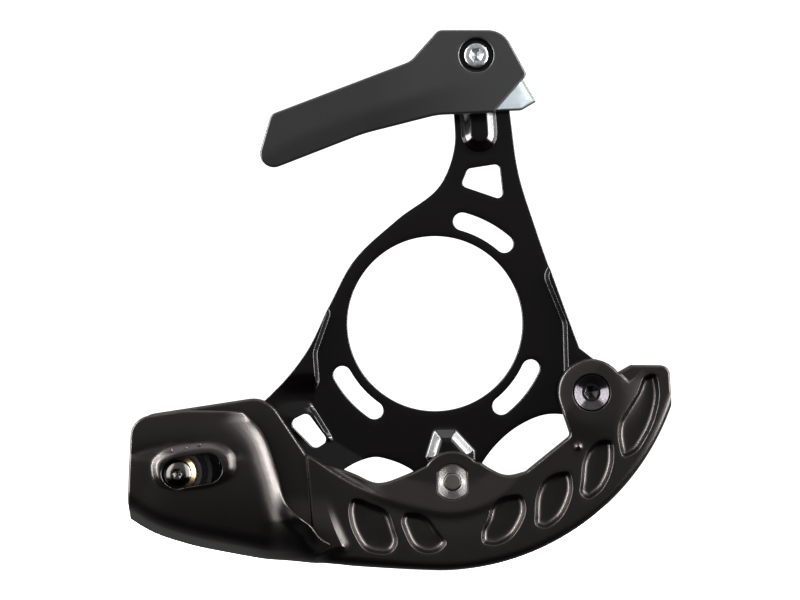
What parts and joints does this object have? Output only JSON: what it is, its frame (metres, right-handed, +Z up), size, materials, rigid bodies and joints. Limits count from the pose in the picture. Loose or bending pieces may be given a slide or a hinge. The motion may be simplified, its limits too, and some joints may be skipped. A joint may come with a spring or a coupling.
{
  "type": "bicycle chain guide",
  "caption": "Backplate-mounted bicycle chain guide: sliding upper cage, formed plate on a bottom bracket mount, curved skid and an enclosed lower roller.",
  "frame": {"origin": "centre of the bottom bracket hole, on the backplate's mounting face", "axes": "+X forward along the bicycle, +Y inboard toward the bicycle's frame, +Z up"},
  "size_m": [0.185, 0.0277, 0.1833],
  "materials": {
    "plate_black": "glossy black anodised, formed from plate",
    "guide_charcoal": "matt moulded, charcoal",
    "guide_pale": "pale translucent, bevelled edge",
    "steel_silver": "bright zinc plated, turned faces",
    "skid_black": "satin moulded black, soft edges",
    "steel_black": "black oxide",
    "sleeve_plain": "plain turned",
    "pulley_black": "smooth turned black polymer",
    "bearing_steel": "ground",
    "sleeve_gold": "gold anodised, turned"
  },
  "bodies": {
    "frame": {"backplate": "plate_black", "skid": "skid_black", "front_bolt": "steel_black", "front_sleeve": "sleeve_plain", "front_nut": "steel_black", "middle_bolt": "steel_black", "middle_nut": "steel_silver"},
    "upper_guide": {"upper_guide_outer": "guide_charcoal", "upper_guide_inner": "guide_pale", "upper_guide_washer": "steel_silver", "upper_guide_bolt": "steel_silver", "upper_guide_nut": "steel_silver"},
    "pulley_carrier": {"pulley_bolt": "steel_silver", "pulley_sleeve": "sleeve_gold", "bearing_inner_race": "bearing_steel", "pulley_spacer": "sleeve_plain", "pulley_nut": "steel_black"},
    "pulley": {"pulley_wheel": "pulley_black", "bearing_outer_race": "bearing_steel", "bearing_shield_rear": "bearing_steel", "bearing_shield_front": "bearing_steel"},
    "ball_set": {"bearing_balls": "bearing_steel", "bearing_cage": "bearing_steel"}
  },
  "joints": [
    {"name": "upper_guide_slide", "type": "slide", "parent": "frame", "child": "upper_guide", "axis": [-0.0698, 0, 0.9976], "range_m": [-0.0081, 0]},
    {"name": "pulley_slide", "type": "slide", "parent": "frame", "child": "pulley_carrier", "axis": [0.9845, 0, 0.1754], "range_m": [0, 0.0103]},
    {"name": "pulley_spin", "type": "hinge", "parent": "pulley_carrier", "child": "pulley", "pos_m": [-0.0869, -0.016, -0.0502], "axis": [0, 1, 0], "continuous": true},
    {"name": "ball_spin", "type": "hinge", "parent": "pulley_carrier", "child": "ball_set", "pos_m": [-0.0869, -0.016, -0.0502], "axis": [0, 1, 0], "continuous": true}
  ],
  "couplings": [
    {"joint": "ball_spin", "follows": "pulley_spin", "ratio": 0.6185}
  ]
}
